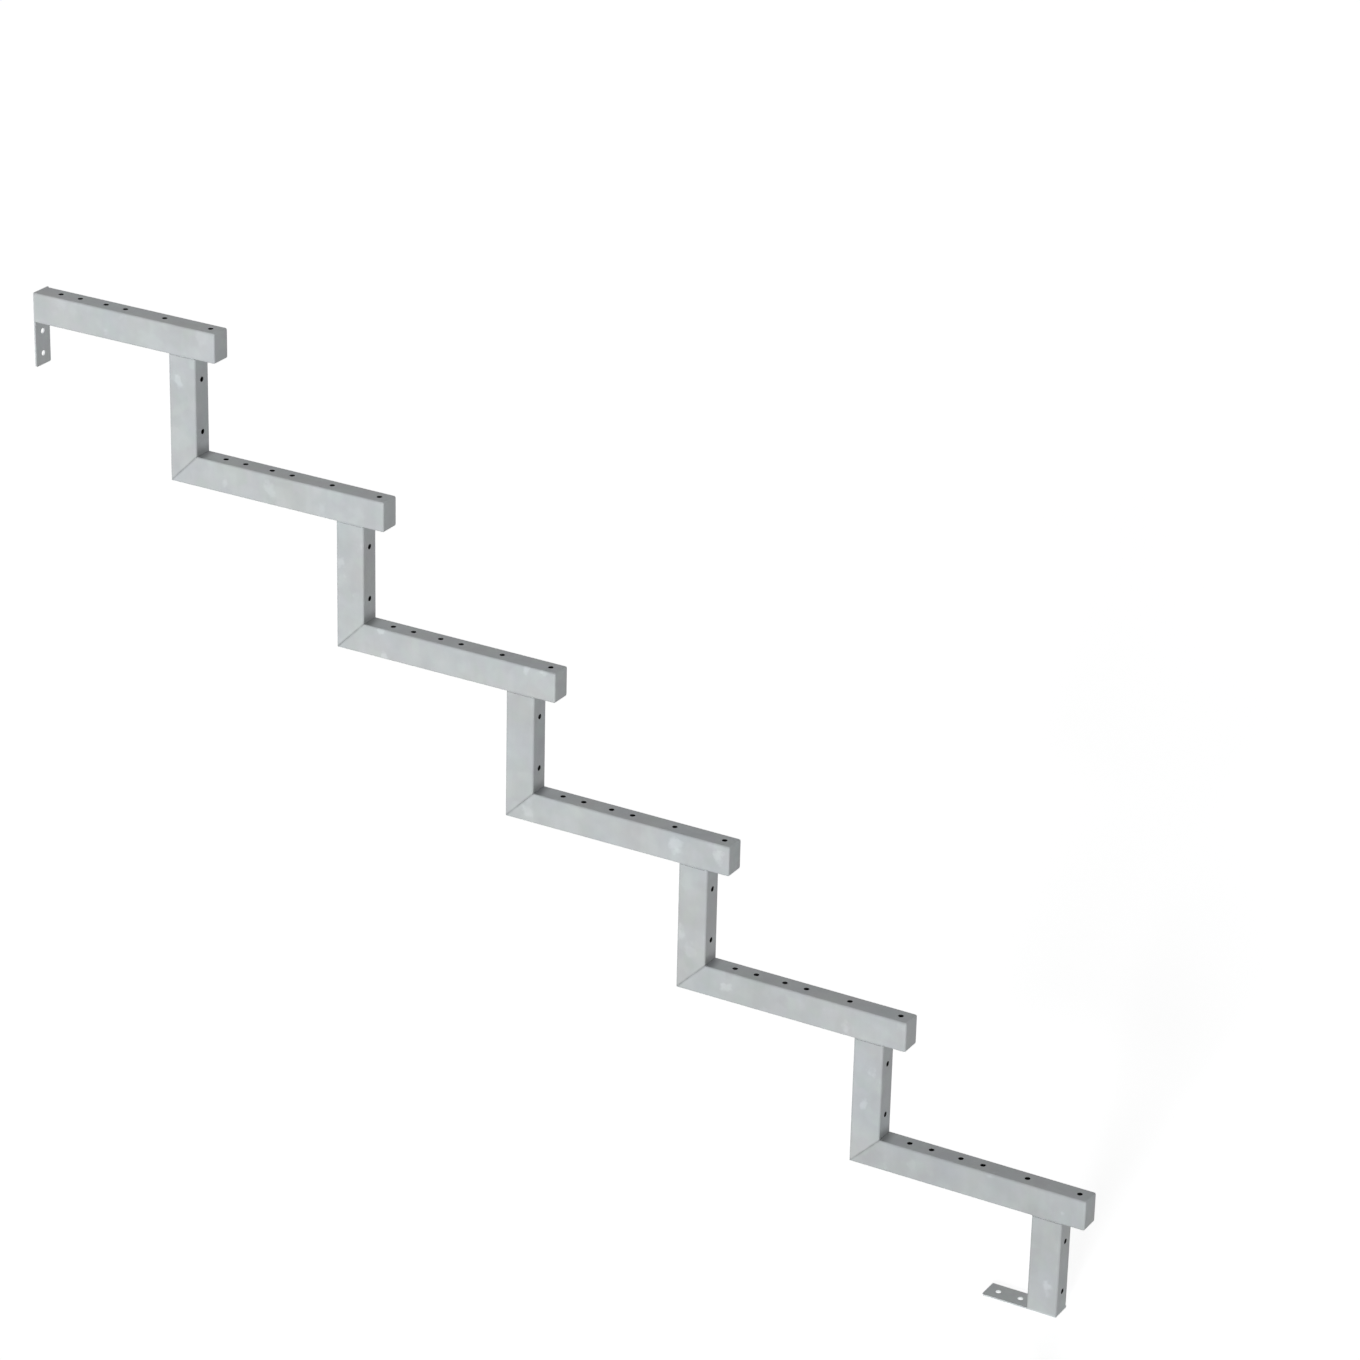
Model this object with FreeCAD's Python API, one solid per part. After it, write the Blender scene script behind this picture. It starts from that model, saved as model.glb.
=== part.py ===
import FreeCAD
import Part
import os

from FreeCAD import Vector

# Stair stringer: a zig-zag of rectangular hollow section, mitred and welded,
# with a bolted foot plate at the bottom and a bolted wall plate at the top.
# Lengths are in millimetres. X runs away from the wall along the going, Y runs
# across the flight and Z points up. The origin is on the underside of the foot
# plate, midway between its two holes.

# The flight.
STEPS = 6
RISE = 170.0
GOING = 250.0
NOSE_OVERHANG = 30.0
# The wall plate stops this far short of the line of the next riser.
WALL_CLEARANCE = 2.0

# The tube. Its deep side shows from beside the stair.
TUBE_DEPTH = 40.0
TUBE_WIDTH = 30.0
TUBE_WALL = 2.0
TUBE_CORNER = 3.0
# Bevel round the outside of each mitred end, which leaves a fine line at the corner.
MITRE_BEVEL = 0.4

# The caps that close the noses, with the four edges of the outer face ground off.
CAP_THICKNESS = 4.0
CAP_BEVEL = 2.0

# The two end plates, as wide as the tube.
PLATE_THICKNESS = 2.0
PLATE_REACH = 60.0
PLATE_CORNER = 2.0
PLATE_HOLE = 7.0
PLATE_HOLE_INSET = 15.0

# Screw holes for the boards, through the near wall of the tube only.
SCREW_HOLE = 7.0
BOARD_SCREWS = 70.0
FRONT_BOARD_INSET = 15.0
REAR_BOARD_INSET = 35.0
REAR_BOARD_SHIFT = 30.0
RISER_SCREW_INSET = 30.0

TREAD_DEPTH = GOING + NOSE_OVERHANG
POST_FACE = RISE - TUBE_DEPTH

ORIGIN = Vector(0, 0, 0)
AXIS_X = Vector(1, 0, 0)
AXIS_Y = Vector(0, 1, 0)
AXIS_Z = Vector(0, 0, 1)


def post_rear(step):
    """X of the face of this step's post that looks towards the wall."""
    return PLATE_REACH / 2 - (step - 1) * GOING


def post_front(step):
    """X of the face of this step's post that carries the riser board."""
    return post_rear(step) + TUBE_DEPTH


def nose(step):
    """X of the outer face of this step's nose cap."""
    return post_front(step) + NOSE_OVERHANG


def tread_top(step):
    """Z of the face that this step's tread boards lie on."""
    return step * RISE


def rounded_rectangle(depth, width, radius):
    """Closed wire round the origin in the XY plane, depth along X and width along Y."""
    x = depth / 2 - radius
    y = width / 2 - radius
    edges = []
    for turn in range(4):
        along, across = (x, y) if turn % 2 == 0 else (y, x)
        corner = Part.makeCircle(radius, Vector(along, across, 0), AXIS_Z, 0, 90)
        side = Part.makeLine(Vector(along + radius, -across, 0), Vector(along + radius, across, 0))
        for edge in (side, corner):
            edge.rotate(ORIGIN, AXIS_Z, 90 * turn)
            edges.append(edge)
    return Part.Wire(Part.__sortEdges__(edges))


def square_bar(depth, width, length):
    """Sharp-edged bar round the Z axis, from the origin along +Z."""
    return Part.makeBox(depth, width, length, Vector(-depth / 2, -width / 2, 0))


def rounded_bar(length):
    """Solid bar with the tube's outline, from the origin along +Z."""
    outline = rounded_rectangle(TUBE_DEPTH, TUBE_WIDTH, TUBE_CORNER)
    return Part.Face(outline).extrude(Vector(0, 0, length))


def hollow_section(length):
    """Tube from the origin along +Z."""
    inside = square_bar(TUBE_DEPTH - 2 * TUBE_WALL, TUBE_WIDTH - 2 * TUBE_WALL, length)
    return rounded_bar(length).cut(inside)


def drilled(tube, stations):
    """Tube with a hole through its +X wall at each distance from its start."""
    for station in stations:
        start = Vector(TUBE_DEPTH / 2 - 2 * TUBE_WALL, 0, station)
        drill = Part.makeCylinder(SCREW_HOLE / 2, 3 * TUBE_WALL, start, AXIS_X)
        tube = tube.cut(drill)
    return tube


def mitred(tube, short_side):
    """Tube cut at 45 degrees at its far end, with its +X side left short_side long."""
    half = TUBE_DEPTH / 2
    overrun = TUBE_DEPTH
    corners = [
        Vector(half + overrun, -TUBE_WIDTH, short_side - overrun),
        Vector(half + overrun, -TUBE_WIDTH, short_side + 3 * TUBE_DEPTH),
        Vector(-half - overrun, -TUBE_WIDTH, short_side + 3 * TUBE_DEPTH),
        Vector(-half - overrun, -TUBE_WIDTH, short_side + TUBE_DEPTH + overrun),
    ]
    waste = Part.Face(Part.makePolygon(corners + corners[:1])).extrude(AXIS_Y * 2 * TUBE_WIDTH)
    tube = tube.cut(waste).Solids[0]
    end = next(face for face in tube.Faces if is_mitre(face))
    return tube.makeChamfer(MITRE_BEVEL, end.OuterWire.Edges)


def is_mitre(face):
    """True for the flat face that leans equally towards the tube's run and its +X side."""
    normal = face.normalAt(0, 0)
    return abs(normal.x - normal.z) < 0.01 and normal.z > 0.5


def tube_piece(short_side, stations, has_mitre):
    """One length of tube from its square end along +Z, drilled and cut to fit."""
    if has_mitre:
        tube = mitred(hollow_section(short_side + TUBE_DEPTH), short_side)
    else:
        tube = hollow_section(short_side)
    return drilled(tube, stations)


def tread_bearer(step):
    """Level tube under a tread, from its cap back to the next post or to the wall plate."""
    rear = TREAD_DEPTH - REAR_BOARD_INSET
    stations = [
        FRONT_BOARD_INSET,
        FRONT_BOARD_INSET + BOARD_SCREWS,
        rear,
        rear - BOARD_SCREWS,
        rear - REAR_BOARD_SHIFT,
        rear - REAR_BOARD_SHIFT - BOARD_SCREWS,
    ]
    stations = [station - CAP_THICKNESS for station in stations]
    length = TREAD_DEPTH - CAP_THICKNESS
    if step == STEPS:
        length -= WALL_CLEARANCE + PLATE_THICKNESS
    tube = tube_piece(length, stations, step < STEPS)
    tube.rotate(ORIGIN, AXIS_Y, -90)
    tube.translate(Vector(nose(step) - CAP_THICKNESS, 0, tread_top(step) - TUBE_DEPTH / 2))
    return tube


def riser_post(step):
    """Upright tube from the underside of its bearer down to the corner or the foot plate."""
    stations = [RISER_SCREW_INSET, POST_FACE - RISER_SCREW_INSET]
    length = POST_FACE if step > 1 else POST_FACE - PLATE_THICKNESS
    tube = tube_piece(length, stations, step > 1)
    tube.rotate(ORIGIN, AXIS_X, 180)
    tube.translate(Vector(post_rear(step) + TUBE_DEPTH / 2, 0, tread_top(step) - TUBE_DEPTH))
    return tube


def nose_cap(step):
    """Plate that closes a bearer's nose, as large as the tube, with a bevelled outer rim."""
    blank = square_bar(TUBE_DEPTH, TUBE_WIDTH, CAP_THICKNESS)
    rim = [edge for edge in blank.Edges if edge.BoundBox.ZMax < CAP_THICKNESS / 2]
    cap = rounded_bar(CAP_THICKNESS).common(blank.makeChamfer(CAP_BEVEL, rim))
    cap.rotate(ORIGIN, AXIS_Y, -90)
    cap.translate(Vector(nose(step), 0, tread_top(step) - TUBE_DEPTH / 2))
    return cap


def is_free_corner(edge):
    """True for the two upright edges at the end of a plate that reaches past the tube."""
    upright = edge.tangentAt(edge.FirstParameter).cross(AXIS_Z).Length < 0.01
    return upright and edge.CenterOfMass.x < -TUBE_DEPTH


def end_plate():
    """Flat plate along -X from the origin, with two holes beyond the tube that it is welded to."""
    length = TUBE_DEPTH + PLATE_REACH
    plate = Part.makeBox(length, TUBE_WIDTH, PLATE_THICKNESS, Vector(-length, -TUBE_WIDTH / 2, 0))
    corners = [edge for edge in plate.Edges if is_free_corner(edge)]
    plate = plate.makeFillet(PLATE_CORNER, corners)
    for station in (TUBE_DEPTH + PLATE_HOLE_INSET, length - PLATE_HOLE_INSET):
        start = Vector(-station, 0, -PLATE_THICKNESS)
        plate = plate.cut(Part.makeCylinder(PLATE_HOLE / 2, 3 * PLATE_THICKNESS, start, AXIS_Z))
    return plate


def foot_plate():
    """Plate under the first post, which reaches under the stair."""
    plate = end_plate()
    plate.translate(Vector(post_front(1), 0, 0))
    return plate


def wall_plate():
    """Plate on the rear end of the top bearer, which hangs down the wall."""
    plate = end_plate()
    plate.rotate(ORIGIN, AXIS_Y, -90)
    plate.translate(Vector(nose(STEPS) - TREAD_DEPTH + WALL_CLEARANCE + PLATE_THICKNESS, 0, tread_top(STEPS)))
    return plate


def stringer():
    """Every piece of the stringer by its node name."""
    pieces = {"foot_plate": foot_plate(), "wall_plate": wall_plate()}
    for step in range(1, STEPS + 1):
        pieces[f"riser_post_{step}"] = riser_post(step)
        pieces[f"tread_bearer_{step}"] = tread_bearer(step)
        pieces[f"nose_cap_{step}"] = nose_cap(step)
    return pieces


os.makedirs("parts", exist_ok=True)
for name, shape in stringer().items():
    solid = shape.Solids[0]
    solid.exportStep(f"parts/{name}.step")
    box = solid.BoundBox
    print(f"{name}: {len(shape.Solids)} solid, volume {solid.Volume:.0f}, "
          f"X {box.XMin:.1f}..{box.XMax:.1f}, Y {box.YMin:.1f}..{box.YMax:.1f}, Z {box.ZMin:.1f}..{box.ZMax:.1f}")
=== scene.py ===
"""A galvanised stair stringer in a plain studio: zinc finishes, rounded nose caps, floor, light and camera.

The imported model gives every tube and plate. This script dresses them in zinc that is mottled as hot-dip
zinc is, sets a nose cap with a rounded rim on each tread bearer, and fills the weld at the top of each post.
"""

import logging
import math
import random
from collections.abc import Callable
from dataclasses import dataclass, field, replace
from enum import Enum

import bmesh
import bpy
from mathutils import Matrix, Vector

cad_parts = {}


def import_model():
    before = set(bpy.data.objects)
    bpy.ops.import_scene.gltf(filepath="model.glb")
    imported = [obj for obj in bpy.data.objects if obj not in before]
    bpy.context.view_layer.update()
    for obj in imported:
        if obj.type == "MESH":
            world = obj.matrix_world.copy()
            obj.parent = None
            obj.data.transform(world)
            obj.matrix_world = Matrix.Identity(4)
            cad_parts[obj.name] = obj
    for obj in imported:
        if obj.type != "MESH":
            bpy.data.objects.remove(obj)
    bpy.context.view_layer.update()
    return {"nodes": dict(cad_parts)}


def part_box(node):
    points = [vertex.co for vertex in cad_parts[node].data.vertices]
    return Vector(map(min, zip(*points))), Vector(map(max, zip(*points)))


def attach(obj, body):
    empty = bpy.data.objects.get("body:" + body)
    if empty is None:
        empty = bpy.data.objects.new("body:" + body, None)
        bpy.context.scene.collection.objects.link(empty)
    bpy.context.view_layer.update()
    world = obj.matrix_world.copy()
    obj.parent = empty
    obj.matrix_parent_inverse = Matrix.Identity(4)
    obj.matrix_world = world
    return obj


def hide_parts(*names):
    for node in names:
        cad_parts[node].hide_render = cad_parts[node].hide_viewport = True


LOG = logging.getLogger("stringer")

MM = 0.001
BODY = "root"
FRONT_SIDE = (0.0, -1.0, 0.0)
MITRE_NORMAL = (math.sqrt(0.5), 0.0, -math.sqrt(0.5))
TUBE_CORNER = 3 * MM
PLATE_CORNER = 0.2 * MM
PAST_JOINT = 50 * MM
TONE_SPREAD = 0.012
PATTERN_SEED = 11
PATTERN_RANGE = (1.0, 9.0)
PATTERN_SHIFT = (1.0, 1.7, 0.6)
FRONT_FACING = (0.3, 0.9)
FLANK_FACING = (0.2, 0.6)
SKIN_START = 0.02 * MM
SKIN_END = 0.12 * MM
GROOVE_START = 0.7 * MM
GROOVE_END = 1.2 * MM

Colour = tuple[float, float, float]
Triple = tuple[float, float, float]
Source = bpy.types.NodeSocket | float | tuple | Vector


class Slot(Enum):
    """Names of material slots for tube zinc and cap zinc; nothing in this script uses them."""

    TUBE = "zinc_tube"
    CAP = "zinc_cap"


class Run(Enum):
    """The way a tube runs, and the axis of its length."""

    LEVEL = 0
    UPRIGHT = 2


class Graph:
    """A node tree with short calls that add and join nodes."""

    def __init__(self, tree: bpy.types.NodeTree) -> None:
        """Empties a tree and takes it over.

        Args:
            tree: The tree of a material, a world or a node group.
        """
        self.tree = tree
        tree.nodes.clear()

    def add(self, kind: str, **settings: object) -> bpy.types.Node:
        """Adds one node.

        Args:
            kind: The node's type.
            settings: Values of the node's own settings, by name.

        Returns:
            The new node.
        """
        node = self.tree.nodes.new(kind)
        for name, value in settings.items():
            setattr(node, name, value)
        return node

    def feed(self, socket: bpy.types.NodeSocket, source: Source) -> None:
        """Joins an output to a socket, or sets the socket to a value.

        Args:
            socket: The input to feed.
            source: Another node's output, a number, or a vector or colour.
        """
        if isinstance(source, bpy.types.NodeSocket):
            self.tree.links.new(source, socket)
        else:
            socket.default_value = source

    def math(self, operation: str, *values: Source, clamp: bool = False) -> bpy.types.NodeSocket:
        """Adds a Math node.

        Args:
            operation: The operation's name.
            values: Its numbers or outputs, in order.
            clamp: Whether the result is held between 0 and 1.

        Returns:
            The node's result.
        """
        node = self.add("ShaderNodeMath", operation=operation, use_clamp=clamp)
        for socket, value in zip(node.inputs, values):
            self.feed(socket, value)
        return node.outputs["Value"]

    def vector(self, operation: str, *values: Source, result: str = "Vector") -> bpy.types.NodeSocket:
        """Adds a Vector Math node.

        Args:
            operation: The operation's name.
            values: Its vectors or outputs, in order.
            result: The name of the output to return.

        Returns:
            That output.
        """
        node = self.add("ShaderNodeVectorMath", operation=operation)
        for socket, value in zip(node.inputs, values):
            self.feed(socket, value)
        return node.outputs[result]

    def parts_of(self, vector: bpy.types.NodeSocket) -> list[bpy.types.NodeSocket]:
        """Splits a vector.

        Args:
            vector: The output to split.

        Returns:
            Its X, Y and Z.
        """
        node = self.add("ShaderNodeSeparateXYZ")
        self.feed(node.inputs[0], vector)
        return list(node.outputs)

    def slope(self, value: Source, start: Source, end: Source, low: float = 0.0, high: float = 1.0,
              curve: str = "SMOOTHSTEP") -> bpy.types.NodeSocket:
        """Maps a stretch of values to another with a Map Range node.

        Args:
            value: The number to map.
            start: The value that gives low.
            end: The value that gives high.
            low: The result at start.
            high: The result at end.
            curve: The way between them.

        Returns:
            The mapped number, which stays between low and high.
        """
        node = self.add("ShaderNodeMapRange", interpolation_type=curve, clamp=True)
        for name, source in (("Value", value), ("From Min", start), ("From Max", end),
                             ("To Min", low), ("To Max", high)):
            self.feed(node.inputs[name], source)
        return node.outputs["Result"]

    def noise(self, vector: Source, scale: Source, detail: float = 2.0, roughness: float = 0.5,
              result: str = "Fac") -> bpy.types.NodeSocket:
        """Adds a Noise Texture node.

        Args:
            vector: The place to read.
            scale: Waves to the metre.
            detail: The number of finer layers.
            roughness: The weight of the finer layers.
            result: The name of the output to return.

        Returns:
            That output.
        """
        node = self.add("ShaderNodeTexNoise")
        for name, source in (("Vector", vector), ("Scale", scale), ("Detail", detail),
                             ("Roughness", roughness)):
            self.feed(node.inputs[name], source)
        return node.outputs[result]

    def cells(self, vector: Source, scale: Source, feature: str = "F1",
              smoothness: float = 0.5) -> bpy.types.Node:
        """Adds a Voronoi Texture node.

        Args:
            vector: The place to read.
            scale: Cells to the metre.
            feature: What is measured in each cell.
            smoothness: How far neighbouring cells run together.

        Returns:
            The node.
        """
        node = self.add("ShaderNodeTexVoronoi", feature=feature)
        self.feed(node.inputs["Vector"], vector)
        self.feed(node.inputs["Scale"], scale)
        if feature == "SMOOTH_F1":
            self.feed(node.inputs["Smoothness"], smoothness)
        return node

    def tinted(self, first: Source, second: Source) -> bpy.types.NodeSocket:
        """Multiplies two colours.

        Args:
            first: The first colour.
            second: The second colour.

        Returns:
            The tinted colour.
        """
        node = self.add("ShaderNodeMix", data_type="RGBA", blend_type="MULTIPLY", clamp_factor=True)
        sockets = [s for s in node.inputs if s.type == "RGBA"]
        self.feed(node.inputs["Factor"], 1.0)
        self.feed(sockets[0], opaque(first))
        self.feed(sockets[1], opaque(second))
        return next(s for s in node.outputs if s.type == "RGBA")

    def grey(self, value: bpy.types.NodeSocket) -> bpy.types.NodeSocket:
        """Turns one number into a colour with that number in all three channels."""
        node = self.add("ShaderNodeCombineColor")
        for socket in node.inputs:
            self.feed(socket, value)
        return node.outputs["Color"]

    def place(self, group: bpy.types.NodeTree, **values: Source) -> dict[str, bpy.types.NodeSocket]:
        """Places a node group.

        Args:
            group: The group.
            values: What feeds its inputs, by name.

        Returns:
            The group's outputs by name.
        """
        node = self.add("ShaderNodeGroup", node_tree=group)
        for name, source in values.items():
            self.feed(node.inputs[name], source)
        return {socket.name: socket for socket in node.outputs}


def opaque(colour: Source) -> Source:
    """Adds an alpha of 1 to a plain colour, and leaves an output as it is."""
    return (*colour, 1.0) if isinstance(colour, tuple) and len(colour) == 3 else colour


@dataclass
class Effects:
    """The effects that the finishes share, each a node group that is built once."""

    groups: dict[str, bpy.types.NodeTree] = field(default_factory=dict)

    def group(self, name: str, inputs: dict[str, str], outputs: dict[str, str],
              build: Callable[[Graph, dict, dict], None]) -> bpy.types.NodeTree:
        """Builds a node group, or gives the one that is there.

        Args:
            name: The group's name.
            inputs: The kind of each input by name.
            outputs: The kind of each output by name.
            build: Fills the group, given its graph, its inputs and its outputs' sockets.

        Returns:
            The group.
        """
        if name not in self.groups:
            tree = bpy.data.node_groups.new(name, "ShaderNodeTree")
            for in_out, sockets in (("INPUT", inputs), ("OUTPUT", outputs)):
                for socket, kind in sockets.items():
                    tree.interface.new_socket(socket, in_out=in_out, socket_type=f"NodeSocket{kind}")
            graph = Graph(tree)
            given = graph.add("NodeGroupInput").outputs
            result = graph.add("NodeGroupOutput").inputs
            build(graph, {s.name: s for s in given}, {s.name: s for s in result})
            self.groups[name] = tree
        return self.groups[name]

    def clouds(self) -> bpy.types.NodeTree:
        """Soft blotches, each with its own lightness and a trace of its own hue."""
        return self.group(
            "zinc_clouds",
            {"Place": "Vector", "Size": "Float", "Contrast": "Float", "Hue": "Float"},
            {"Shade": "Color", "Tone": "Float"},
            self.fill_clouds)

    @staticmethod
    def fill_clouds(graph: Graph, given: dict, result: dict) -> None:
        """Fills the group of the clouds.

        Args:
            graph: The group's graph.
            given: The group's inputs.
            result: The group's outputs' sockets.
        """
        wander_reach = 1.1
        cell_share = 0.25
        drift_rate = 0.35
        hue_rate = 0.25
        hue_shift = (3.1, 1.9, 2.3)
        hue_swing = 2.4
        leaf_swing = 1.35
        rate = graph.math("DIVIDE", 1.0, given["Size"])
        wander = graph.noise(given["Place"], rate, result="Color")
        sway = graph.vector("SUBTRACT", wander, (0.5, 0.5, 0.5))
        reach = graph.math("MULTIPLY", given["Size"], wander_reach)
        scaled = graph.add("ShaderNodeVectorMath", operation="SCALE")
        graph.feed(scaled.inputs["Vector"], sway)
        graph.feed(scaled.inputs["Scale"], reach)
        place = graph.vector("ADD", given["Place"], scaled.outputs["Vector"])
        patch = graph.cells(place, rate, feature="SMOOTH_F1", smoothness=0.8).outputs["Color"]
        drift = graph.noise(given["Place"], graph.math("MULTIPLY", rate, drift_rate), detail=3.0)
        hues = graph.noise(graph.vector("ADD", place, hue_shift), graph.math("MULTIPLY", rate, hue_rate),
                           detail=3.0, result="Color")
        red, _, blue = graph.parts_of(patch)
        _, green, _ = graph.parts_of(hues)
        both = graph.math("MULTIPLY_ADD", red, cell_share, drift)
        spread = graph.math("SUBTRACT", both, 0.5 + cell_share / 2)
        tone = graph.math("MULTIPLY", spread, given["Contrast"])
        graph.feed(result["Tone"], tone)
        light = graph.math("ADD", tone, 1.0)
        swing = graph.math("MULTIPLY_ADD", green, hue_swing, -hue_swing / 2)
        warm = graph.math("MULTIPLY", swing, given["Hue"])
        leaf = graph.math("MULTIPLY", graph.math("SUBTRACT", blue, 0.5), given["Hue"])
        shade = graph.add("ShaderNodeCombineColor")
        graph.feed(shade.inputs[0], graph.math("ADD", light, warm))
        graph.feed(shade.inputs[1], graph.math("MULTIPLY_ADD", leaf, leaf_swing, light))
        graph.feed(shade.inputs[2], graph.math("SUBTRACT", light, warm))
        graph.feed(result["Shade"], shade.outputs["Color"])

    def blooms(self) -> bpy.types.NodeTree:
        """Scattered small pale patches of zinc salts with ragged rims, drawn out a little downwards."""
        return self.group(
            "zinc_blooms",
            {"Place": "Vector", "Spacing": "Float", "Share": "Float"},
            {"Mask": "Float"},
            self.fill_blooms)

    @staticmethod
    def fill_blooms(graph: Graph, given: dict, result: dict) -> None:
        """Fills the group of the pale patches.

        Args:
            graph: The group's graph.
            given: The group's inputs.
            result: The group's outputs' sockets.
        """
        drawn_out = (1.0, 1.0, 0.75)
        ragged_rate = 2.6
        ragged_reach = 0.8
        least_rim = 0.2
        rim_spread = 0.26
        core_share = 0.35
        faintest = 0.2
        rate = graph.math("DIVIDE", 1.0, given["Spacing"])
        drawn = graph.vector("MULTIPLY", given["Place"], drawn_out)
        cell = graph.cells(drawn, rate)
        chance, width, strength = graph.parts_of(cell.outputs["Color"])
        ragged = graph.noise(given["Place"], graph.math("MULTIPLY", rate, ragged_rate), detail=3.0)
        far = graph.math("MULTIPLY_ADD", graph.math("SUBTRACT", ragged, 0.5), ragged_reach,
                         cell.outputs["Distance"])
        rim = graph.math("MULTIPLY_ADD", width, rim_spread, least_rim)
        spot = graph.slope(far, rim, graph.math("MULTIPLY", rim, core_share))
        chosen = graph.math("LESS_THAN", chance, given["Share"])
        shown = graph.math("MULTIPLY", chosen,
                           graph.math("MULTIPLY_ADD", strength, 1.0 - faintest, faintest))
        graph.feed(result["Mask"], graph.math("MULTIPLY", spot, shown))

    def streaks(self) -> bpy.types.NodeTree:
        """Faint upright streaks, left as the zinc ran off the lifted steel."""
        return self.group(
            "zinc_streaks",
            {"Place": "Vector", "Width": "Float", "Length": "Float"},
            {"Value": "Float"},
            self.fill_streaks)

    @staticmethod
    def fill_streaks(graph: Graph, given: dict, result: dict) -> None:
        """Fills the group of the streaks.

        Args:
            graph: The group's graph.
            given: The group's inputs.
            result: The group's outputs' sockets.
        """
        x, y, z = graph.parts_of(given["Place"])
        across = graph.add("ShaderNodeCombineXYZ")
        for socket, part in zip(across.inputs, (x, y)):
            graph.feed(socket, graph.math("DIVIDE", part, given["Width"]))
        graph.feed(across.inputs[2], graph.math("DIVIDE", z, given["Length"]))
        wave = graph.noise(across.outputs[0], 1.0)
        graph.feed(result["Value"], graph.math("SUBTRACT", wave, 0.5))

    def grain(self) -> bpy.types.NodeTree:
        """The fine skin of the zinc: a dry, slightly pebbled surface."""
        return self.group(
            "zinc_grain",
            {"Place": "Vector", "Size": "Float"},
            {"Value": "Float", "Height": "Float"},
            self.fill_grain)

    @staticmethod
    def fill_grain(graph: Graph, given: dict, result: dict) -> None:
        """Fills the group of the grain.

        Args:
            graph: The group's graph.
            given: The group's inputs.
            result: The group's outputs' sockets.
        """
        pebble_rate = 0.5
        pebble_height = -0.35
        swell_rate = 0.12
        swell_height = 2.5
        rate = graph.math("DIVIDE", 1.0, given["Size"])
        fine = graph.noise(given["Place"], rate, detail=3.0, roughness=0.6)
        pebbles = graph.cells(given["Place"], graph.math("MULTIPLY", rate, pebble_rate), feature="SMOOTH_F1")
        graph.feed(result["Value"], graph.math("SUBTRACT", fine, 0.5))
        swell = graph.noise(given["Place"], graph.math("MULTIPLY", rate, swell_rate), detail=1.0)
        height = graph.math("MULTIPLY_ADD", pebbles.outputs["Distance"], pebble_height, fine)
        graph.feed(result["Height"], graph.math("MULTIPLY_ADD", swell, swell_height, height))

    def edges(self) -> bpy.types.NodeTree:
        """Where a box-shaped piece is thin-coated: along the edges of its box."""
        return self.group(
            "edge_wear",
            {"Place": "Vector", "Low": "Vector", "High": "Vector", "Width": "Float"},
            {"Mask": "Float"},
            self.fill_edges)

    @staticmethod
    def fill_edges(graph: Graph, given: dict, result: dict) -> None:
        """Fills the group of the edges.

        Args:
            graph: The group's graph.
            given: The group's inputs.
            result: The group's outputs' sockets.
        """
        ragged_rate = 180.0
        least_reach = 0.5
        inside = graph.vector("MINIMUM", graph.vector("SUBTRACT", given["Place"], given["Low"]),
                              graph.vector("SUBTRACT", given["High"], given["Place"]))
        x, y, z = graph.parts_of(inside)
        deepest = graph.math("MAXIMUM", graph.math("MAXIMUM", x, y), z)
        shallowest = graph.math("MINIMUM", graph.math("MINIMUM", x, y), z)
        total = graph.math("ADD", graph.math("ADD", x, y), z)
        middle = graph.math("SUBTRACT", graph.math("SUBTRACT", total, deepest), shallowest)
        ragged = graph.noise(given["Place"], ragged_rate)
        reach = graph.math("MULTIPLY", given["Width"], graph.math("ADD", ragged, least_reach))
        graph.feed(result["Mask"], graph.slope(middle, reach, 0.0))

    def seam(self) -> bpy.types.NodeTree:
        """A soft dark line where a flat joint, ground flush, comes to the surface."""
        return self.group(
            "seam_line",
            {"Place": "Vector", "Point": "Vector", "Normal": "Vector", "Width": "Float"},
            {"Mask": "Float", "Groove": "Float"},
            self.fill_seam)

    @staticmethod
    def fill_seam(graph: Graph, given: dict, result: dict) -> None:
        """Fills the group of the seam.

        Args:
            graph: The group's graph.
            given: The group's inputs.
            result: The group's outputs' sockets.
        """
        patch_rate = 120.0
        patch_start = 0.35
        patch_end = 0.6
        faintest = 0.6
        offset = graph.vector("SUBTRACT", given["Place"], given["Point"])
        off = graph.math("ABSOLUTE", graph.vector("DOT_PRODUCT", offset, given["Normal"], result="Value"))
        patchy = graph.slope(graph.noise(given["Place"], patch_rate), patch_start, patch_end, low=faintest)
        line = graph.slope(off, given["Width"], 0.0)
        graph.feed(result["Mask"], graph.math("MULTIPLY", line, patchy))
        graph.feed(result["Groove"], graph.slope(off, GROOVE_END, GROOVE_START))

    def corner(self) -> bpy.types.NodeTree:
        """Painted shade in an inner corner, round a line across the stringer: the colour darkens where the
        corner would be shaded.
        """
        return self.group(
            "corner_painted_shade",
            {"Place": "Vector", "Corner": "Vector", "Reach": "Float"},
            {"Mask": "Float"},
            self.fill_corner_shade)

    @staticmethod
    def fill_corner_shade(graph: Graph, given: dict, result: dict) -> None:
        """Fills the group of the painted shade in the inner corner.

        Args:
            graph: The group's graph.
            given: The group's inputs.
            result: The group's outputs' sockets.
        """
        flat_share = 0.17
        offset = graph.vector("SUBTRACT", given["Place"], given["Corner"])
        away = graph.vector("LENGTH", graph.vector("MULTIPLY", offset, (1.0, 0.0, 1.0)), result="Value")
        near = graph.math("MULTIPLY", given["Reach"], flat_share)
        graph.feed(result["Mask"], graph.slope(away, given["Reach"], near))

    def inside(self) -> bpy.types.NodeTree:
        """What lies under a piece's outer skin: the walls of holes and the bore."""
        return self.group(
            "under_skin",
            {"Place": "Vector", "Low": "Vector", "High": "Vector", "Corner": "Float"},
            {"Mask": "Float"},
            self.fill_inside)

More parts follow.
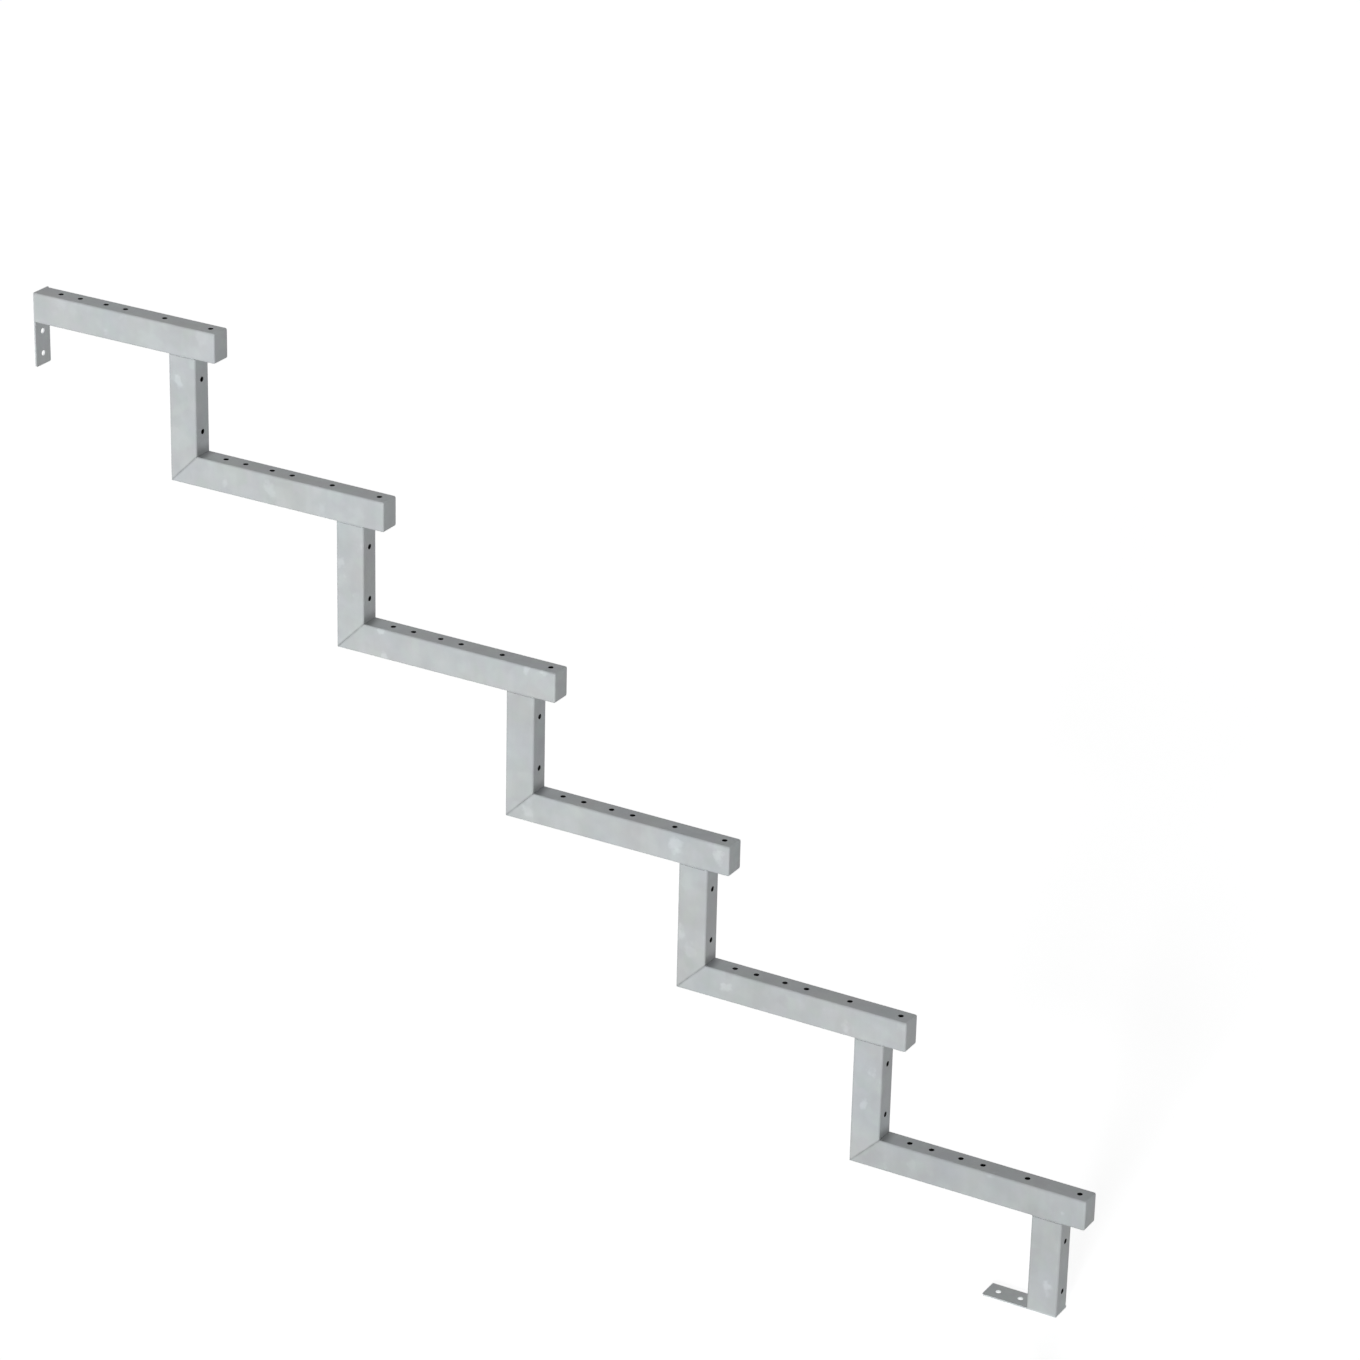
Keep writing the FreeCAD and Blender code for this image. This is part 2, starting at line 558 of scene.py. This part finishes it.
    @staticmethod
    def fill_inside(graph: Graph, given: dict, result: dict) -> None:
        """Fills the group of what lies under the skin, by the depth below a rounded box.

        Args:
            graph: The group's graph.
            given: The group's inputs.
            result: The group's outputs' sockets.
        """
        outside = graph.vector("MAXIMUM", graph.vector("SUBTRACT", given["Low"], given["Place"]),
                               graph.vector("SUBTRACT", given["Place"], given["High"]))
        corner = graph.add("ShaderNodeCombineXYZ")
        for socket in corner.inputs:
            graph.feed(socket, given["Corner"])
        past = graph.vector("ADD", outside, corner.outputs[0])
        round_part = graph.vector("LENGTH", graph.vector("MAXIMUM", past, (0.0, 0.0, 0.0)), result="Value")
        x, y, z = graph.parts_of(past)
        most = graph.math("MAXIMUM", graph.math("MAXIMUM", x, y), z)
        flat_part = graph.math("MINIMUM", most, 0.0)
        depth = graph.math("SUBTRACT", given["Corner"], graph.math("ADD", round_part, flat_part))
        graph.feed(result["Mask"], graph.slope(depth, SKIN_START, SKIN_END))


@dataclass(frozen=True)
class Skin:
    """What is a piece's own in its finish: its box, its pattern and the corners beside it.

    The box runs on past a joint, so that no edge is worn there.
    """

    low: Vector
    high: Vector
    corner_radius: float
    seed: float
    tone: float = 1.0
    front_darkening: float = 0.0
    corners: tuple[Vector, ...] = ()


@dataclass(frozen=True)
class Zinc:
    """Hot-dip zinc after some weeks of weather: matt, cloudy, a trace of blue.

    The sizes are in metres.
    """

    colour: Colour
    metallic: float = 0.15
    roughness: float = 0.6
    cloud_roughness: float = 0.6
    gloss: float = 0.35
    cloud_size: float = 15 * MM
    contrast: float = 0.3
    hue: float = 0.032
    bloom_spacing: float = 30 * MM
    bloom_share: float = 0.62
    bloom_gain: float = 0.18
    bloom_roughness: float = 0.12
    bloom_metal: float = -0.1
    streak_width: float = 9 * MM
    streak_length: float = 90 * MM
    streak_gain: float = 0.06
    grain_size: float = 1.6 * MM
    grain_gain: float = 0.04
    relief: float = 0.06 * MM
    edge_width: float = 2.2 * MM
    edge_gain: float = 0.015
    edge_roughness: float = -0.08
    # Under the skin: a negative gain is painted shade (the tubes' dark bore and hole walls); a positive one
    # is bare drilled steel plus painted light (the plates' hole walls).
    inside_painted_light_gain: float = -0.97
    inside_roughness: float = 0.4
    inside_metal: float = -0.15
    seam_width: float = 2.6 * MM
    seam_loss: float = 0.24
    # Painted shade in the inner corners: how far it reaches and how much it darkens the colour.
    corner_shade_reach: float = 15 * MM
    corner_shade_loss: float = 0.32

    def material(self, effects: Effects, name: str, skin: Skin) -> bpy.types.Material:
        """Makes the finish of one piece.

        Args:
            effects: The shared node groups.
            name: The piece's name.
            skin: What is this piece's own.

        Returns:
            The material.
        """
        made = bpy.data.materials.new(f"zinc_{name}")
        made.use_nodes = True
        graph = Graph(made.node_tree)
        here = graph.add("ShaderNodeTexCoord").outputs["Object"]
        place = graph.vector("ADD", here, tuple(skin.seed * share for share in PATTERN_SHIFT))

        clouds = graph.place(effects.clouds(), Place=place, Size=self.cloud_size,
                             Contrast=self.contrast, Hue=self.hue)
        blooms = graph.place(effects.blooms(), Place=place, Spacing=self.bloom_spacing,
                             Share=self.bloom_share)
        streaks = graph.place(effects.streaks(), Place=place, Width=self.streak_width,
                              Length=self.streak_length)
        grain = graph.place(effects.grain(), Place=place, Size=self.grain_size)
        edges = graph.place(effects.edges(), Place=here, Low=skin.low, High=skin.high,
                            Width=self.edge_width)
        inside = graph.place(effects.inside(), Place=here, Low=skin.low, High=skin.high,
                             Corner=skin.corner_radius)

        normal = graph.add("ShaderNodeNewGeometry").outputs["Normal"]
        facing = graph.vector("DOT_PRODUCT", normal, FRONT_SIDE, result="Value")
        facing_front = graph.slope(facing, *FRONT_FACING)
        flank = graph.slope(graph.math("ABSOLUTE", graph.parts_of(normal)[1]), *FLANK_FACING)
        # Front faces darker, most on the lowest step.
        gain = graph.math("MULTIPLY_ADD", facing_front, -skin.front_darkening, skin.tone)
        gain = graph.math("MULTIPLY_ADD", blooms["Mask"], self.bloom_gain, gain)
        gain = graph.math("MULTIPLY_ADD", streaks["Value"], self.streak_gain, gain)
        gain = graph.math("MULTIPLY_ADD", grain["Value"], self.grain_gain, gain)
        gain = graph.math("MULTIPLY_ADD", edges["Mask"], self.edge_gain, gain)
        hidden = inside["Mask"]
        for corner in skin.corners:
            line = graph.place(effects.seam(), Place=here, Point=corner, Normal=MITRE_NORMAL,
                               Width=self.seam_width)
            # Painted shade near the inner corner, on the faces that meet there, not on the front and back.
            corner_shade = graph.place(effects.corner(), Place=here, Corner=corner, Reach=self.corner_shade_reach)
            line_here = graph.math("MULTIPLY", line["Mask"], flank)
            corner_shade_here = graph.math("MULTIPLY", corner_shade["Mask"], graph.math("SUBTRACT", 1.0, flank))
            gain = self.scaled(graph, gain, line_here, -self.seam_loss)
            gain = self.scaled(graph, gain, corner_shade_here, -self.corner_shade_loss)
            hidden = self.scaled(graph, hidden, line["Groove"], -1.0)
        # Painted shade in the tubes' hole walls and bore; on the plates, bare drilled steel made lighter,
        # with painted light as well.
        gain = self.scaled(graph, gain, hidden, self.inside_painted_light_gain)
        shade = graph.tinted(clouds["Shade"], graph.grey(gain))
        colour = graph.tinted(shade, self.colour)

        rough = graph.math("MULTIPLY_ADD", clouds["Tone"], self.cloud_roughness, self.roughness)
        rough = graph.math("MULTIPLY_ADD", blooms["Mask"], self.bloom_roughness, rough)
        rough = graph.math("MULTIPLY_ADD", hidden, self.inside_roughness, rough)
        rough = graph.math("MULTIPLY_ADD", edges["Mask"], self.edge_roughness, rough, clamp=True)
        metal = graph.math("MULTIPLY_ADD", blooms["Mask"], self.bloom_metal, self.metallic)
        metal = graph.math("MULTIPLY_ADD", hidden, self.inside_metal, metal, clamp=True)

        bump = graph.add("ShaderNodeBump")
        bump.inputs["Distance"].default_value = self.relief
        graph.feed(bump.inputs["Height"], grain["Height"])

        shader = graph.add("ShaderNodeBsdfPrincipled")
        graph.feed(shader.inputs["Base Color"], colour)
        graph.feed(shader.inputs["Roughness"], rough)
        graph.feed(shader.inputs["Metallic"], metal)
        shader.inputs["Specular IOR Level"].default_value = self.gloss
        graph.feed(shader.inputs["Normal"], bump.outputs["Normal"])
        output = graph.add("ShaderNodeOutputMaterial")
        graph.feed(output.inputs["Surface"], shader.outputs["BSDF"])
        return made

    @staticmethod
    def scaled(graph: Graph, gain: Source, mask: Source, change: float) -> bpy.types.NodeSocket:
        """Scales a gain where a mask is set.

        Args:
            graph: The material's graph.
            gain: The gain so far.
            mask: Where it changes, from 0 to 1.
            change: The share that is added where the mask is 1.

        Returns:
            The scaled gain.
        """
        return graph.math("MULTIPLY", gain, graph.math("MULTIPLY_ADD", mask, change, 1.0))


TUBE_ZINC = Zinc(colour=(0.590, 0.612, 0.620))
WELD_ZINC = replace(TUBE_ZINC, edge_gain=0.0, inside_painted_light_gain=0.0)
# The plates' hole walls: bare drilled steel, lighter and more metallic, with painted light added.
PLATE_ZINC = Zinc(colour=(0.630, 0.652, 0.659), cloud_size=11 * MM, contrast=0.18, inside_painted_light_gain=0.25,
                  inside_roughness=-0.3, inside_metal=0.6)


@dataclass
class Flight:
    """The stringer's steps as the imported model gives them."""

    nodes: dict[str, bpy.types.Object]
    # How much the front faces darken on the lowest step, and how fast that fades upwards.
    most_front_darkening: float = 0.12
    steps_to_fade: float = 1.5
    steps: int = field(init=False)

    def __post_init__(self) -> None:
        """Counts the steps."""
        self.steps = sum(name.startswith("tread_bearer_") for name in self.nodes)

    def inner_corners(self, step: int) -> tuple[Vector, ...]:
        """Finds where a bearer's top meets the next post.

        Args:
            step: The bearer's step, 1 for the lowest.

        Returns:
            A point on the corner's line, or nothing where a bearer and a post don't meet so.
        """
        if not 1 <= step < self.steps:
            return ()
        _, post_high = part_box(f"riser_post_{step + 1}")
        _, bearer_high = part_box(f"tread_bearer_{step}")
        return (Vector((post_high.x, 0.0, bearer_high.z)),)

    def front_darkening(self, step: int) -> float:
        """Gives how much a step's front faces are darkened: most on the lowest step."""
        return self.most_front_darkening * math.exp(-(step - 1) / self.steps_to_fade)


def bridge(shape: bmesh.types.BMesh, back: list[bmesh.types.BMVert], front: list[bmesh.types.BMVert],
           smooth: bool) -> None:
    """Joins two closed rings with a band of faces.

    Args:
        shape: The shape that holds both rings.
        back: One ring.
        front: The other ring, with as many points.
        smooth: Whether the band is shaded smooth.
    """
    for index, vertex in enumerate(back):
        after = (index + 1) % len(back)
        side = shape.faces.new((vertex, back[after], front[after], front[index]))
        side.smooth = smooth


def placed(shape: bmesh.types.BMesh, name: str) -> bpy.types.Object:
    """Turns a finished shape into a piece of the scene.

    Args:
        shape: The shape, which is freed.
        name: The piece's name.

    Returns:
        The piece.
    """
    bmesh.ops.recalc_face_normals(shape, faces=shape.faces)
    mesh = bpy.data.meshes.new(name)
    shape.to_mesh(mesh)
    shape.free()
    piece = bpy.data.objects.new(name, mesh)
    bpy.context.scene.collection.objects.link(piece)
    return piece


def dress_packed(piece: bpy.types.Object, finish: bpy.types.Material) -> bpy.types.Object:
    """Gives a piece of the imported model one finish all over.

    Args:
        piece: The piece.
        finish: Its finish.

    Returns:
        The same piece.
    """
    for slot in piece.material_slots:
        slot.material = finish
    return piece


@dataclass
class Tube:
    """One length of the tube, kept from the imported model."""

    flight: Flight
    effects: Effects
    step: int
    run: Run
    finish: Zinc = TUBE_ZINC

    @property
    def name(self) -> str:
        """The tube's name in the model."""
        kind = "tread_bearer" if self.run is Run.LEVEL else "riser_post"
        return f"{kind}_{self.step}"

    def skin(self, seed: float, tone: float) -> Skin:
        """Gathers what is the tube's own, with its box run on past both ends.

        Args:
            seed: Sets the tube's pattern.
            tone: The tube's lightness.

        Returns:
            The tube's skin.
        """
        low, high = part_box(self.name)
        past = Vector()
        past[self.run.value] = PAST_JOINT
        below = self.step if self.run is Run.LEVEL else self.step - 1
        return Skin(low - past, high + past, TUBE_CORNER, seed, tone,
                    self.flight.front_darkening(self.step), self.flight.inner_corners(below))

    def dress(self, skin: Skin) -> bpy.types.Object:
        """Gives the tube its zinc.

        Args:
            skin: What is the tube's own.

        Returns:
            The dressed tube.
        """
        made = self.finish.material(self.effects, self.name, skin)
        return dress_packed(self.flight.nodes[self.name], made)


@dataclass
class NoseCap:
    """The plate that closes a bearer's nose, with its outer rim rounded."""

    effects: Effects
    step: int
    corner: float = TUBE_CORNER
    rim: float = 2.4 * MM
    arc_steps: int = 8
    finish: Zinc = TUBE_ZINC

    def outline(self, low: Vector, high: Vector, inset: float) -> list[tuple[float, float]]:
        """Walks once round the cap.

        Args:
            low: The lowest corner of the cap's box.
            high: The highest corner.
            inset: How far inside the box the walk goes.

        Returns:
            The points as pairs of Y and Z.
        """
        radius = self.corner - inset
        middle = (low + high) / 2
        half_y = (high.y - low.y) / 2 - self.corner
        half_z = (high.z - low.z) / 2 - self.corner
        walk = []
        for quarter, (side_y, side_z) in enumerate(((1, 1), (-1, 1), (-1, -1), (1, -1))):
            for step in range(self.arc_steps + 1):
                turn = math.pi / 2 * (quarter + step / self.arc_steps)
                walk.append((middle.y + side_y * half_y + radius * math.cos(turn),
                             middle.z + side_z * half_z + radius * math.sin(turn)))
        return walk

    def build(self) -> bpy.types.Object:
        """Builds the cap in place of its node.

        Returns:
            The cap.
        """
        node = f"nose_cap_{self.step}"
        low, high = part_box(node)
        shape = bmesh.new()
        stations = [(low.x, 0.0)]
        for step in range(self.arc_steps + 1):
            turn = math.pi / 2 * step / self.arc_steps
            stations.append((high.x - self.rim * (1.0 - math.sin(turn)),
                             self.rim * (1.0 - math.cos(turn))))
        rings = [[shape.verts.new((x, y, z)) for y, z in self.outline(low, high, inset)]
                 for x, inset in stations]
        for back, front in zip(rings, rings[1:]):
            bridge(shape, back, front, smooth=True)
        shape.faces.new(rings[-1])
        seat = shape.faces.new(list(reversed(rings[0])))
        for edge in seat.edges:
            edge.smooth = False
        cap = placed(shape, f"rounded_{node}")
        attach(cap, BODY)
        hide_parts(node)
        return cap

    def dress(self, cap: bpy.types.Object, skin: Skin) -> None:
        """Gives the cap its zinc, whose pattern runs on from the bearer behind it.

        Args:
            cap: The built cap.
            skin: The skin of the bearer.
        """
        _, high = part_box(f"nose_cap_{self.step}")
        made = self.finish.material(self.effects, cap.name, replace(skin, high=high))
        cap.data.materials.append(made)


@dataclass
class WeldFill:
    """The weld in the two grooves between a post's flat top and its bearer's rounded lower edges.

    It is ground nearly flush, so each strip stays a little behind the faces of the tubes.
    """

    effects: Effects
    step: int
    corner: float = TUBE_CORNER
    recess: float = 0.5 * MM
    top_turn: float = 50.0
    end_turn: float = 76.0
    end_gap: float = 1.4 * MM
    arc_steps: int = 6
    finish: Zinc = WELD_ZINC

    def section(self, side: int, face: float, seat: float) -> list[tuple[float, float]]:
        """Walks round one strip's section.

        Args:
            side: -1 for the front strip, 1 for the back one.
            face: How far the tubes' faces are from the middle plane.
            seat: The height of the post's top.

        Returns:
            The points as pairs of Y and Z.
        """
        walk = [(side * (face - self.recess), seat)]
        for step in range(self.arc_steps + 1):
            turn = math.radians(self.top_turn + (self.end_turn - self.top_turn) * step / self.arc_steps)
            walk.append((side * (face - self.corner * (1.0 - math.cos(turn))),
                         seat + self.corner * (1.0 - math.sin(turn))))
        walk.append((walk[-1][0], seat))
        return walk

    def build(self) -> bpy.types.Object:
        """Builds both strips as one piece.

        Returns:
            The weld.
        """
        post_low, post_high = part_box(f"riser_post_{self.step}")
        shape = bmesh.new()
        for side in (-1, 1):
            walk = self.section(side, post_high.y, post_high.z)
            ends = [[shape.verts.new((x, y, z)) for y, z in walk]
                    for x in (post_low.x + self.end_gap, post_high.x - self.end_gap)]
            bridge(shape, *ends, smooth=False)
            for end in ends:
                shape.faces.new(end)
        weld = placed(shape, f"weld_fill_{self.step}")
        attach(weld, BODY)
        return weld

    def dress(self, weld: bpy.types.Object, skin: Skin) -> None:
        """Gives the weld its zinc, whose pattern runs on from the post below it.

        Args:
            weld: The built weld.
            skin: The skin of the post.
        """
        weld.data.materials.append(self.finish.material(self.effects, weld.name, skin))


@dataclass
class EndPlate:
    """A flat plate that bolts the stringer to the floor or the wall."""

    flight: Flight
    effects: Effects
    name: str
    finish: Zinc = PLATE_ZINC

    def dress(self, seed: float) -> bpy.types.Object:
        """Gives the plate its zinc.

        Args:
            seed: Sets the plate's pattern.

        Returns:
            The dressed plate.
        """
        low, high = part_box(self.name)
        made = self.finish.material(self.effects, self.name, Skin(low, high, PLATE_CORNER, seed))
        return dress_packed(self.flight.nodes[self.name], made)


@dataclass(frozen=True)
class Lamp:
    """A distant lamp with a broad, soft disc that no reflection shows."""

    name: str
    towards: Triple
    strength: float
    spread: float
    colour: Colour = (1.0, 1.0, 1.0)

    def light(self) -> bpy.types.Object:
        """Hangs the lamp.

        Returns:
            The lamp.
        """
        lamp = bpy.data.lights.new(self.name, "SUN")
        lamp.energy = self.strength * math.pi
        lamp.angle = math.radians(self.spread)
        lamp.color = self.colour
        made = bpy.data.objects.new(self.name, lamp)
        made.rotation_euler = Vector(self.towards).to_track_quat("Z", "Y").to_euler()
        made.visible_glossy = False
        bpy.context.scene.collection.objects.link(made)
        return made


@dataclass(frozen=True)
class Studio:
    """The pale floor, the white surroundings and the lamps."""

    floor_size: float = 60.0
    floor_drop: float = 0.1 * MM
    floor_colour: Colour = (0.86, 0.86, 0.86)
    floor_glow: float = 0.78
    ambient: float = 0.12
    lamps: tuple[Lamp, ...] = (
        Lamp("key", (0.22, -1.0, 0.12), 0.785, 12.0, colour=(0.975, 1.0, 0.998)),
        Lamp("fill_back", (-0.5, 1.0, 0.25), 0.3, 20.0),
    )

    @staticmethod
    def seen_white(graph: Graph) -> bpy.types.NodeSocket:
        """Makes a switch that is 1 for what the camera, a reflection or a clear body sees."""
        path = graph.add("ShaderNodeLightPath")
        seen = graph.math("ADD", path.outputs["Is Camera Ray"], path.outputs["Is Glossy Ray"])
        return graph.math("ADD", seen, path.outputs["Is Transmission Ray"], clamp=True)

    def floor(self) -> bpy.types.Object:
        """Lays the floor, which is seen white and keeps the object's shadow.

        Returns:
            The floor.
        """
        half = self.floor_size / 2
        mesh = bpy.data.meshes.new("floor")
        corners = ((-half, -half), (half, -half), (half, half), (-half, half))
        mesh.from_pydata([(x, y, -self.floor_drop) for x, y in corners], [], [(0, 1, 2, 3)])
        floor = bpy.data.objects.new("floor", mesh)
        bpy.context.scene.collection.objects.link(floor)
        made = bpy.data.materials.new("pale_floor")
        made.use_nodes = True
        graph = Graph(made.node_tree)
        paint = graph.add("ShaderNodeBsdfDiffuse")
        paint.inputs["Color"].default_value = opaque(self.floor_colour)
        glow = graph.add("ShaderNodeEmission")
        graph.feed(glow.inputs["Strength"], graph.math("MULTIPLY", self.seen_white(graph), self.floor_glow))
        both = graph.add("ShaderNodeAddShader")
        graph.feed(both.inputs[0], paint.outputs["BSDF"])
        graph.feed(both.inputs[1], glow.outputs["Emission"])
        output = graph.add("ShaderNodeOutputMaterial")
        graph.feed(output.inputs["Surface"], both.outputs["Shader"])
        mesh.materials.append(made)
        return floor

    def world(self) -> None:
        """Sets the surroundings: seen white, and a soft even light for everything else."""
        world = bpy.data.worlds.new("studio")
        bpy.context.scene.world = world
        world.use_nodes = True
        graph = Graph(world.node_tree)
        strength = graph.slope(self.seen_white(graph), 0.0, 1.0, self.ambient, 1.0, curve="LINEAR")
        sky = graph.add("ShaderNodeBackground")
        graph.feed(sky.inputs["Strength"], strength)
        sky.inputs["Color"].default_value = opaque((1.0, 1.0, 1.0))
        output = graph.add("ShaderNodeOutputWorld")
        graph.feed(output.inputs["Surface"], sky.outputs["Background"])

    def build(self) -> None:
        """Builds the whole studio."""
        self.floor()
        self.world()
        for lamp in self.lamps:
            lamp.light()


@dataclass(frozen=True)
class Viewpoint:
    """The camera's place, as measured from the picture: angles in degrees, lengths in metres."""

    azimuth: float = 29.442
    elevation: float = 24.033
    roll: float = 1.414
    lens: float = 128.45
    sensor: float = 36.0
    anchor: Triple = (-0.620, -0.015, 0.500)
    right_of_anchor: float = 0.13087
    above_anchor: float = 0.16395
    distance: float = 5.98827

    def build(self) -> bpy.types.Object:
        """Sets the camera up.

        Returns:
            The camera.
        """
        turn = math.radians(self.azimuth)
        tilt = math.radians(self.elevation)
        roll = math.radians(self.roll)
        ahead = Vector((-math.sin(turn) * math.cos(tilt), math.cos(turn) * math.cos(tilt), -math.sin(tilt)))
        level = Vector((math.cos(turn), math.sin(turn), 0.0))
        upright = level.cross(ahead)
        right = math.cos(roll) * level + math.sin(roll) * upright
        up = math.cos(roll) * upright - math.sin(roll) * level
        camera = bpy.data.cameras.new("camera")
        camera.lens = self.lens
        camera.sensor_width = self.sensor
        camera.sensor_height = self.sensor
        made = bpy.data.objects.new("camera", camera)
        axes = Matrix((right, up, -ahead)).transposed().to_4x4()
        spot = (Vector(self.anchor) + self.right_of_anchor * right + self.above_anchor * up
                - self.distance * ahead)
        made.matrix_world = Matrix.Translation(spot) @ axes
        bpy.context.scene.collection.objects.link(made)
        bpy.context.scene.camera = made
        return made


@dataclass
class Stringer:
    """The whole stringer: its tubes, caps and plates."""

    flight: Flight
    effects: Effects
    draw: random.Random

    def seed(self) -> float:
        """Draws the number that sets a piece's pattern."""
        return self.draw.uniform(*PATTERN_RANGE)

    def steps(self) -> None:
        """Dresses every tube, and builds and dresses each bearer's nose cap and each post's weld."""
        for step in range(1, self.flight.steps + 1):
            for run in Run:
                tube = Tube(self.flight, self.effects, step, run)
                skin = tube.skin(self.seed(), self.draw.gauss(1.0, TONE_SPREAD))
                LOG.info("dressed %s", tube.dress(skin).name)
                maker = NoseCap if run is Run.LEVEL else WeldFill
                piece = maker(self.effects, step)
                made = piece.build()
                piece.dress(made, skin)
                LOG.info("built %s with %d faces", made.name, len(made.data.polygons))

    def plates(self) -> None:
        """Dresses the foot plate and the wall plate."""
        for name in ("foot_plate", "wall_plate"):
            plate = EndPlate(self.flight, self.effects, name).dress(self.seed())
            LOG.info("dressed %s", plate.name)


def main() -> None:
    """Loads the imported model, dresses it and sets up the studio."""
    logging.basicConfig(level=logging.INFO, format="%(name)s: %(message)s")
    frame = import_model()
    stringer = Stringer(Flight(frame["nodes"]), Effects(), random.Random(PATTERN_SEED))
    stringer.steps()
    stringer.plates()
    Studio().build()
    LOG.info("camera at %s", [round(x, 3) for x in Viewpoint().build().location])
    scene = bpy.context.scene
    scene.view_settings.view_transform = "Standard"


if __name__ == "__main__":
    main()
